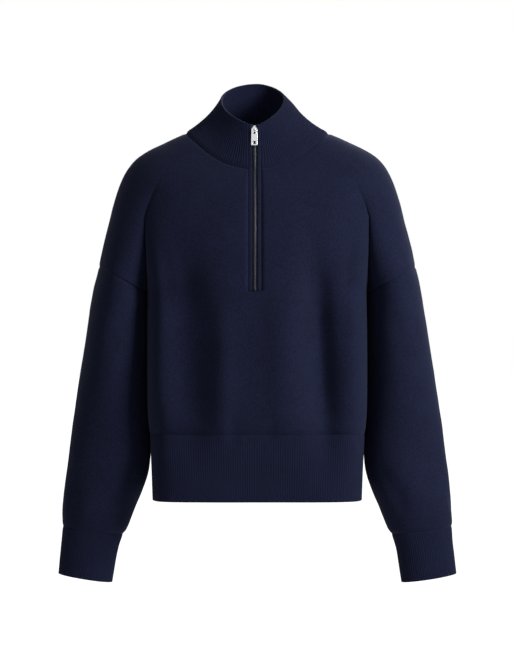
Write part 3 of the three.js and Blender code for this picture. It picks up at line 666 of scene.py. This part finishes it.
# A flat rounded strip beside the zip's line
def buildStrip(name, size, side):
    rounded = lambda value: math.copysign(abs(value) ** (2 / size["square"]), value)
    profile = []
    for turn in np.linspace(0, 2 * math.pi, zipSteps["turns"] + 1):
        u = size["u"] - size["halfU"] * rounded(math.cos(turn))
        d = size["d"] - size["halfD"] * rounded(math.sin(turn))
        profile.append((u, d + size["lean"] * (u - size["u"])))
    if side < 0:
        profile = [(-u, d) for u, d in reversed(profile)]
    last = zipLength + size["past"]
    runs = list(np.arange(size["from"], last, zipSteps["step"])) + [last]
    rows = [[onZip(run, u, d) for u, d in profile] for run in runs]
    ends = [[onZip(run, side * size["u"], size["d"])] * len(profile) for run in (runs[0], last)]
    bm = bmesh.new()
    addSheet(bm, np.array([ends[0], *rows, ends[1]]), middle=zipSteps["turns"] // 4)
    return closeUp(bm, name)


# One turn of the coil: a thin bar whose front bows back towards the coil's outer edge
def addTurn(bm, run, side):
    places = np.linspace(coil["inner"], coil["outer"], coil["steps"])
    profile = [(u, coil["front"] + coil["crown"] * (u / coil["outer"]) ** 2) for u in places]
    profile += [(u, coil["back"]) for u in (places[-1], places[0])]
    middle = np.mean(profile, axis=0)
    flat, edge = coil["flat"], coil["edge"]
    rings = []
    for offset, share in ((-0.5, edge), (-flat, 1), (flat, 1), (0.5, edge)):
        ring = [middle + (np.array(q) - middle) * (1, share) for q in profile]
        points = [onZip(run + offset * coil["thick"], side * u, d) for u, d in ring]
        rings.append([bm.verts.new(q) for q in points[::side]])
    count = len(profile)
    for low, high in zip(rings, rings[1:]):
        for k in range(count):
            bm.faces.new((low[k], low[(k + 1) % count], high[(k + 1) % count], high[k]))
    bm.faces.new(rings[0][::-1])
    bm.faces.new(rings[-1])


def buildCoil(name, side):
    first = coil["from"] if side > 0 else coil["from"] + coil["pitch"] / 2
    bm = bmesh.new()
    for run in np.arange(first, zipLength - coil["belowRim"], coil["pitch"]):
        addTurn(bm, run, side)
    bmesh.ops.recalc_face_normals(bm, faces=bm.faces)
    return closeUp(bm, name, join=weld["fine"])


# The stitched bar across the zip's lower end
def buildTack():
    row = tack["tall"] / tack["rows"]
    sizes = Matrix.Diagonal((tack["wide"] * mm, tack["thick"] * mm, tack["filled"] * row * mm, 1))
    bm = bmesh.new()
    for i in range(tack["rows"]):
        z = (i + 0.5) * row - tack["tall"] + tack["up"]
        place = onZip(tack["up"], 0, 0) + np.array((0, -tack["out"], z)) * mm
        bmesh.ops.create_cube(bm, size=1, matrix=Matrix.Translation(place) @ sizes)
    bmesh.ops.bevel(bm, geom=bm.edges[:], offset=tack["bevel"] * mm, affect="EDGES",
                    segments=3, profile=0.5, material=-1)
    return closeUp(bm, "barTack", join=weld["fine"])


bands = [buildStrip("zipBandRight", band, 1), buildStrip("zipBandLeft", band, -1)]
tapes = [buildStrip("zipTapeRight", tape, 1), buildStrip("zipTapeLeft", tape, -1)]
coils = [buildCoil("zipCoilRight", 1), buildCoil("zipCoilLeft", -1)]
barTack = buildTack()
print("zip made")

# Slider and pull, in mm from the pull's hinge, z up and y towards the cloth

hinge = {"place": (-4.082, -67.857, 6.953), "lean": -4.73}
slider = {
    "half": 4, "bottom": -4, "foot": 0.8, "footRise": 1.6, "frontY": 1.6, "backY": 4.8,
    "shoulder": 2.6, "shoulderDrop": 1.2, "top": 5.4, "crown": 1.8, "crownEdge": 0.2, "edge": 0.4,
    "archInner": 1.3, "archOuter": 2.5, "archRoot": 2.1, "archHalf": 1.3,
}
pull = {
    "thick": 1.4, "topHalf": 4.3, "bottomHalf": 4.8, "long": 25, "corner": 1.2, "edge": 0.28,
    "slotHalf": 1.6, "slotZ": -2.8, "eyeRadius": 1.6, "eyeZ": -5.7, "eyeSides": 24,
    "gripHalf": 1.9, "gripLow": -22.3, "gripHigh": -17.9,  # the four-sided hole by its free end
}
sharpFrom = math.radians(40)


def arc(x, z, radius, start, end, steps):
    angles = [math.radians(start + (end - start) * i / steps) for i in range(steps + 1)]
    return [(x + radius * math.cos(a), z + radius * math.sin(a)) for a in angles]


# A flat plate with these outlines, the first its edge and the others holes, with rounded edges
def plateMesh(loops, thick, edge):
    curve = bpy.data.curves.new("outline", "CURVE")
    curve.dimensions = "2D"
    curve.fill_mode = "BOTH"
    curve.extrude = thick / 2 - edge
    curve.bevel_depth = edge
    curve.bevel_resolution = 3  # steps in the rounded edge
    curve.offset = -edge
    for loop in loops:
        spline = curve.splines.new("POLY")
        spline.points.add(len(loop) - 1)
        for point, (x, z) in zip(spline.points, loop):
            point.co = (x, z, 0, 1)
        spline.use_cyclic_u = True
    outlined = bpy.data.objects.new("outline", curve)
    bpy.context.scene.collection.objects.link(outlined)
    bpy.context.view_layer.update()
    graph = bpy.context.evaluated_depsgraph_get()
    mesh = bpy.data.meshes.new_from_object(outlined.evaluated_get(graph))
    bpy.data.objects.remove(outlined)
    bpy.data.curves.remove(curve)
    bm = bmesh.new()
    bm.from_mesh(mesh)
    bpy.data.meshes.remove(mesh)
    bmesh.ops.remove_doubles(bm, verts=bm.verts, dist=weld["plate"])
    bmesh.ops.recalc_face_normals(bm, faces=bm.faces)
    return bm


standing = Matrix.Rotation(math.pi / 2, 4, "X")  # stands a plate up across the front
# puts a plate on its side: its own x points out from the cloth and its thickness goes across
sideways = Matrix(((0, 0, -1, 0), (-1, 0, 0, 0), (0, 1, 0, 0), (0, 0, 0, 1)))


# Turns a plate, moves its middle to this depth and brings it to the hinge
def atHinge(bm, turn, depth=0.0):
    lean = Matrix.Rotation(math.radians(hinge["lean"]), 4, "X")
    place = Matrix.Translation(Vector(hinge["place"]) * mm)
    bm.transform(place @ Matrix.Scale(mm, 4) @ lean @ Matrix.Translation((0, depth, 0)) @ turn)


def metalPiece(bms, name):
    joined = bmesh.new()
    for bm in bms:
        mesh = bpy.data.meshes.new("part")
        bm.to_mesh(mesh)
        joined.from_mesh(mesh)
        bpy.data.meshes.remove(mesh)
        bm.free()
    piece = closeUp(joined, name, join=weld["fine"])
    piece.data.set_sharp_from_angle(angle=sharpFrom)
    return piece


def mirroredOutline(right):
    return right + [(-x, z) for x, z in reversed(right) if x > hair]


def sliderOutline():
    half, bottom, crown, top = (slider[key] for key in ("half", "bottom", "crown", "top"))
    radius = crown - slider["crownEdge"]
    return mirroredOutline([
        (half - slider["foot"], bottom),
        (half, bottom + slider["footRise"]),
        (half, slider["shoulder"] - slider["shoulderDrop"]),
        (crown + 1, slider["shoulder"]),
        (crown, top - 1),
        *arc(0, top - radius, radius, 30, 90, 4),
    ])


def archOutline():
    inner, outer, root = slider["archInner"], slider["archOuter"], -slider["archRoot"]
    outside = [(root, -outer), *arc(0, 0, outer, -90, 90, 16), (root, outer)]
    inside = [(root, inner), *arc(0, 0, inner, 90, -90, 12), (root, -inner)]
    return outside + inside


def buildSlider():
    thick = slider["backY"] - slider["frontY"]
    body = plateMesh([sliderOutline()], thick, slider["edge"])
    atHinge(body, standing, slider["frontY"] + thick / 2)
    arch = plateMesh([archOutline()], 2 * slider["archHalf"], pull["edge"])
    atHinge(arch, sideways)
    return metalPiece([body, arch], "zipSlider")


def fourSided(halfX, low, high):
    return [(-halfX, low), (halfX, low), (halfX, high), (-halfX, high)]


def buildPull():
    top, corner = pull["thick"] / 2, pull["corner"]
    bottom = top - pull["long"]
    outline = mirroredOutline([
        *arc(pull["bottomHalf"] - corner, bottom + corner, corner, -90, 0, 6),
        *arc(pull["topHalf"] - corner, top - corner, corner, 0, 90, 6),
    ])
    slot = fourSided(pull["slotHalf"], pull["slotZ"], -top)
    sides = pull["eyeSides"]
    eye = arc(0, pull["eyeZ"], pull["eyeRadius"], 0, 360 - 360 / sides, sides - 1)
    grip = fourSided(pull["gripHalf"], pull["gripLow"], pull["gripHigh"])
    plate = plateMesh([outline, slot, eye, grip], pull["thick"], pull["edge"])
    atHinge(plate, standing)
    return metalPiece([plate], "zipPull")


zipSlider, zipPull = buildSlider(), buildPull()
print("slider and pull made")

# Materials


def link(tree, *pairs):
    for start, end in pairs:
        tree.links.new(start, end)


def mathNode(tree, operation, first, second=None):
    node = tree.nodes.new("ShaderNodeMath")
    node.operation = operation
    for socket, value in zip(node.inputs, (first, second)):
        if value is None:
            continue
        if isinstance(value, (int, float)):
            socket.default_value = value
        else:
            tree.links.new(value, socket)
    return node.outputs[0]


def newGroup(name, inputs, outputs):
    group = bpy.data.node_groups.new(name, "ShaderNodeTree")
    for label, kind, value in inputs:
        socket = group.interface.new_socket(label, in_out="INPUT", socket_type=kind)
        if value is not None:
            socket.default_value = value
    for label, kind in outputs:
        group.interface.new_socket(label, in_out="OUTPUT", socket_type=kind)
    return group, group.nodes.new("NodeGroupInput"), group.nodes.new("NodeGroupOutput")


stitch = {"wale": 1.7 * mm, "course": 1.35 * mm, "lean": -1.6, "wave": 0.3}
thread = 0.55 * mm
yarnGrain = {"wide": 24.0, "wideDetail": 3.0, "fine": 420.0, "fineDetail": 2.0}


# Plain knit: two leaning legs to each stitch, from a UV map in metres
def makeStitches():
    group, given, out = newGroup(
        "knitStitches",
        [("UV", "NodeSocketVector", None),
         ("Wale", "NodeSocketFloat", stitch["wale"]),
         ("Course", "NodeSocketFloat", stitch["course"])],
        [("Height", "NodeSocketFloat")],
    )
    split = group.nodes.new("ShaderNodeSeparateXYZ")
    link(group, (given.outputs["UV"], split.inputs[0]))
    across = mathNode(group, "DIVIDE", split.outputs[0], given.outputs["Wale"])
    along = mathNode(group, "DIVIDE", split.outputs[1], given.outputs["Course"])
    fromMiddle = mathNode(group, "SUBTRACT", mathNode(group, "FRACT", across), 0.5)
    off = mathNode(group, "ABSOLUTE", fromMiddle)
    leaning = mathNode(group, "ADD", along, mathNode(group, "MULTIPLY", off, stitch["lean"]))
    wave = mathNode(group, "SINE", mathNode(group, "MULTIPLY", leaning, 2 * math.pi))
    leg = mathNode(group, "SINE", mathNode(group, "MULTIPLY", off, 2 * math.pi))
    waving = mathNode(group, "MULTIPLY", wave, stitch["wave"])
    tall = mathNode(group, "ADD", waving, 1 - stitch["wave"])
    link(group, (mathNode(group, "MULTIPLY", leg, tall), out.inputs["Height"]))
    return group


# Plain weave for the zip's tapes
def makeWeave():
    group, given, out = newGroup(
        "plainWeave",
        [("UV", "NodeSocketVector", None), ("Thread", "NodeSocketFloat", thread)],
        [("Height", "NodeSocketFloat")],
    )
    split = group.nodes.new("ShaderNodeSeparateXYZ")
    link(group, (given.outputs["UV"], split.inputs[0]))
    waves = []
    for place in split.outputs[:2]:
        threads = mathNode(group, "DIVIDE", place, given.outputs["Thread"])
        waves.append(mathNode(group, "SINE", mathNode(group, "MULTIPLY", threads, math.pi)))
    crossing = mathNode(group, "ABSOLUTE", mathNode(group, "MULTIPLY", *waves))
    link(group, (crossing, out.inputs["Height"]))
    return group


# Soft unevenness of yarn and dye: a tone mask round 0.5 and a fine fuzz
def makeYarn():
    group, given, out = newGroup(
        "yarnTone",
        [("Object", "NodeSocketVector", None),
         ("Wide", "NodeSocketFloat", yarnGrain["wide"]),
         ("Fine", "NodeSocketFloat", yarnGrain["fine"])],
        [("Tone", "NodeSocketFloat"), ("Fuzz", "NodeSocketFloat")],
    )
    for label, scale, detail in (("Tone", "Wide", "wideDetail"), ("Fuzz", "Fine", "fineDetail")):
        cloud = group.nodes.new("ShaderNodeTexNoise")
        cloud.inputs["Detail"].default_value = yarnGrain[detail]
        link(group, (given.outputs["Object"], cloud.inputs["Vector"]),
             (given.outputs[scale], cloud.inputs["Scale"]),
             (cloud.outputs["Fac"], out.inputs[label]))
    return group


stitches, weave, yarn = makeStitches(), makeWeave(), makeYarn()


def newMaterial(name, colour, values):
    material = bpy.data.materials.new(name)
    material.use_nodes = True
    shader = material.node_tree.nodes["Principled BSDF"]
    shader.inputs["Base Color"].default_value = (*colour, 1)
    for key, value in values.items():
        shader.inputs[key].default_value = value
    return material, material.node_tree, shader


# dark and light are yarn tones mixed at random; stitch sets how much painted shade darkens the
# grooves between the stitch legs
clothLooks = {
    "knit": {
        "dark": (0.0054, 0.0071, 0.0213), "light": (0.0110, 0.0141, 0.0405),
        "wale": 1.7 * mm, "bump": 0.22, "cloud": 0.6, "stitch": 0.2, "grain": 2.2,
    },
    "rib_knit": {
        "dark": (0.0052, 0.0068, 0.0207), "light": (0.0105, 0.0136, 0.0392),
        "wale": 1.15 * mm, "bump": 0.2, "cloud": 0.6, "stitch": 0.2, "grain": 1.4,
    },
    "zip_band": {
        "dark": (0.0056, 0.0073, 0.0219), "light": (0.0112, 0.0145, 0.0415),
        "wale": 1.4 * mm, "bump": 0.2, "cloud": 0.6, "stitch": 0.2, "grain": 1.4,
    },
}
clothFinish = {
    "Roughness": 0.95, "Specular IOR Level": 0.12,
    "Sheen Weight": 0.05, "Sheen Roughness": 0.5, "Sheen Tint": (0.5, 0.58, 0.95, 1),
}
clothBump = {"deep": 0.4 * mm, "fuzz": 0.5}
tapeLook = {"colour": (0.006, 0.007, 0.012), "rough": 0.8, "bump": 0.4, "deep": 0.2 * mm}
coilLook = {"colour": (0.014, 0.018, 0.034), "rough": 0.3}
metalLook = {"rough": 0.14, "roughSpread": 0.12, "cloud": 260}
metalColours = {"slider_metal": (0.74, 0.75, 0.77), "pull_metal": (0.8, 0.81, 0.83)}


def groupNode(tree, group):
    node = tree.nodes.new("ShaderNodeGroup")
    node.node_tree = group
    return node


def addBump(tree, shader, height, strength, deep):
    bump = tree.nodes.new("ShaderNodeBump")
    bump.inputs["Strength"].default_value = strength
    bump.inputs["Distance"].default_value = deep
    link(tree, (height, bump.inputs["Height"]), (bump.outputs["Normal"], shader.inputs["Normal"]))


def clothMaterial(name):
    look = clothLooks[name]
    material, tree, shader = newMaterial(name, look["dark"], clothFinish)
    places = tree.nodes.new("ShaderNodeTexCoord")
    knit, tone = groupNode(tree, stitches), groupNode(tree, yarn)
    knit.inputs["Wale"].default_value = look["wale"]
    colour = tree.nodes.new("ShaderNodeMix")
    colour.data_type = "RGBA"
    colour.inputs["A"].default_value = (*look["dark"], 1)
    colour.inputs["B"].default_value = (*look["light"], 1)
    share = mathNode(tree, "MULTIPLY", tone.outputs["Tone"], look["cloud"])
    # painted shade: the stitch height darkens the colour in the grooves between the stitch legs and
    # lightens their tops
    stitchShade = mathNode(tree, "MULTIPLY", knit.outputs["Height"], look["stitch"])
    fuzz = mathNode(tree, "SUBTRACT", tone.outputs["Fuzz"], 0.5)
    grain = mathNode(tree, "MULTIPLY", fuzz, look["grain"])
    share = mathNode(tree, "ADD", mathNode(tree, "ADD", share, stitchShade), grain)
    fuzzy = mathNode(tree, "MULTIPLY", tone.outputs["Fuzz"], clothBump["fuzz"])
    raised = mathNode(tree, "ADD", knit.outputs["Height"], fuzzy)
    link(tree, (places.outputs["UV"], knit.inputs["UV"]),
         (places.outputs["Object"], tone.inputs["Object"]),
         (share, colour.inputs["Factor"]), (colour.outputs["Result"], shader.inputs["Base Color"]))
    addBump(tree, shader, raised, look["bump"], clothBump["deep"])
    return material


def tapeMaterial():
    finish = {"Roughness": tapeLook["rough"]}
    material, tree, shader = newMaterial("zip_tape", tapeLook["colour"], finish)
    places, woven = tree.nodes.new("ShaderNodeTexCoord"), groupNode(tree, weave)
    link(tree, (places.outputs["UV"], woven.inputs["UV"]))
    addBump(tree, shader, woven.outputs["Height"], tapeLook["bump"], tapeLook["deep"])
    return material


def coilMaterial():
    return newMaterial("zip_coil", coilLook["colour"], {"Roughness": coilLook["rough"]})[0]


def metalMaterial(name):
    material, tree, shader = newMaterial(name, metalColours[name], {"Metallic": 1.0})
    places, tone = tree.nodes.new("ShaderNodeTexCoord"), groupNode(tree, yarn)
    tone.inputs["Wide"].default_value = metalLook["cloud"]
    spread = mathNode(tree, "MULTIPLY", tone.outputs["Tone"], metalLook["roughSpread"])
    rough = mathNode(tree, "ADD", spread, metalLook["rough"])
    link(tree, (places.outputs["Object"], tone.inputs["Object"]),
         (rough, shader.inputs["Roughness"]))
    return material


materials = {name: clothMaterial(name) for name in clothLooks}
materials["zip_tape"] = tapeMaterial()
materials["zip_coil"] = coilMaterial()
materials.update({name: metalMaterial(name) for name in metalColours})
print("materials made")

# Which piece stands for which CAD node, and the cut of what shows of it; flat sizes in metres

cuts = namedtuple("cuts", "piece nodes slot flat area restsOn")
clothPieces = [
    cuts(frontPanel, ["front"], "knit", (0.6, 0.49), 0.223, ["backPanel"]),
    cuts(backPanel, ["back"], "knit", (0.6, 0.52), 0.236, ["frontPanel"]),
    cuts(sleeves[0], ["sleeve_right"], "knit", (0.4, 0.4), 0.13, ["frontPanel", "backPanel"]),
    cuts(sleeves[1], ["sleeve_left"], "knit", (0.4, 0.4), 0.13, ["frontPanel", "backPanel"]),
    cuts(hemFront, ["hem_rib_front"], "rib_knit", (0.475, 0.105), None, ["frontPanel"]),
    cuts(hemBack, ["hem_rib_back"], "rib_knit", (0.47, 0.105), None, ["backPanel"]),
    cuts(cuffs[0], ["cuff_right"], "rib_knit", (0.235, 0.078), None, ["sleeveRight"]),
    cuts(cuffs[1], ["cuff_left"], "rib_knit", (0.235, 0.078), None, ["sleeveLeft"]),
    cuts(ribbedCollar, ["collar"], "rib_knit", (0.52, 0.078), None, ["frontPanel", "backPanel"]),
    cuts(bands[0], ["zip_band_right"], "zip_band", (0.01, 0.255), None, ["frontPanel"]),
    cuts(bands[1], ["zip_band_left"], "zip_band", (0.01, 0.255), None, ["frontPanel"]),
    cuts(tapes[0], ["zip_tape_right"], "zip_tape", (0.01, 0.25), None, ["zipBandRight"]),
    cuts(tapes[1], ["zip_tape_left"], "zip_tape", (0.01, 0.25), None, ["zipBandLeft"]),
]
for cut in clothPieces:
    cut.piece.data.materials.append(materials[cut.slot])
    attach(cut.piece, "garment")
    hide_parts(*cut.nodes)
    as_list(cut.restsOn)
for piece, nodes, slotName, body in (
    (coils[0], ["zip_coil_right"], "zip_coil", "garment"),
    (coils[1], ["zip_coil_left"], "zip_coil", "garment"),
    (barTack, [], "rib_knit", "garment"),
    (zipSlider, ["zip_slider"], "slider_metal", "garment"),
    (zipPull, ["zip_pull"], "pull_metal", "pull_tab"),
):
    piece.data.materials.append(materials[slotName])
    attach(piece, body)
    if nodes:
        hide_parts(*nodes)
print("pieces set on their bodies")

# Floor, light and camera

studio = {
    "floorZ": -1.6, "floorSize": 120, "floorColour": (0.93, 0.93, 0.93), "floorRough": 0.9,
    "floorGlow": 0.95, "seenWhite": 1.0, "mirroredWhite": 0.8, "ambient": 0.15,
    "keyPlace": (1.45, -1.15, 0.35), "keyPower": 40, "keySize": 0.7,
    "fillPlace": (-1.6, -2.8, 0.8), "fillPower": 5.5, "fillSize": 1.2,
    "backPlace": (0.9, 2.4, 1.9), "backPower": 60, "backSize": 1.4,
    "lightsAimAt": (0, 0, -0.25),
    "cameraPlace": (-0.001, -3.5, -0.285), "seenHeight": 0.9825, "sensor": 36,
}


def addLight(name):
    place = Vector(studio[name + "Place"])
    lamp = bpy.data.lights.new(name, "AREA")
    lamp.energy = studio[name + "Power"]
    lamp.size = studio[name + "Size"]
    light = bpy.data.objects.new(name, lamp)
    light.location = place
    aim = Vector(studio["lightsAimAt"]) - place
    light.rotation_euler = aim.to_track_quat("-Z", "Y").to_euler()
    bpy.context.scene.collection.objects.link(light)


# White where the camera looks past the garment and in polished metal, dimmer as light
def buildWorld():
    world = bpy.data.worlds.new("studio")
    world.use_nodes = True
    tree = world.node_tree
    background = tree.nodes["Background"]
    background.inputs["Color"].default_value = (1, 1, 1, 1)
    rays = tree.nodes.new("ShaderNodeLightPath")
    mirrored = mathNode(tree, "MULTIPLY", rays.outputs["Is Glossy Ray"], studio["mirroredWhite"])
    seen = mathNode(tree, "MAXIMUM", rays.outputs["Is Camera Ray"], mirrored)
    strength = mathNode(tree, "MULTIPLY", seen, studio["seenWhite"] - studio["ambient"])
    link(tree, (mathNode(tree, "ADD", strength, studio["ambient"]), background.inputs["Strength"]))
    bpy.context.scene.world = world


def buildFloor():
    bm = bmesh.new()
    bmesh.ops.create_grid(bm, x_segments=1, y_segments=1, size=studio["floorSize"] / 2,
                          matrix=Matrix.Translation((0, 0, studio["floorZ"])))
    floor = closeUp(bm, "floor")
    finish = {"Roughness": studio["floorRough"], "Emission Color": (1, 1, 1, 1)}
    material, tree, shader = newMaterial("paleFloor", studio["floorColour"], finish)
    toCamera = tree.nodes.new("ShaderNodeLightPath").outputs["Is Camera Ray"]
    glow = mathNode(tree, "MULTIPLY", toCamera, studio["floorGlow"])
    link(tree, (glow, shader.inputs["Emission Strength"]))
    floor.data.materials.append(material)


def buildCamera():
    lens = bpy.data.cameras.new("camera")
    lens.sensor_width = studio["sensor"]
    lens.lens = studio["sensor"] * -studio["cameraPlace"][1] / studio["seenHeight"]
    camera = bpy.data.objects.new("camera", lens)
    camera.location = studio["cameraPlace"]
    camera.rotation_euler = (math.pi / 2, 0, 0)
    bpy.context.scene.collection.objects.link(camera)
    bpy.context.scene.camera = camera


def buildStudio():
    buildFloor()
    buildWorld()
    bpy.context.scene.view_settings.view_transform = "Standard"
    for name in ("key", "fill", "back"):
        addLight(name)
    buildCamera()


buildStudio()
print("studio made")
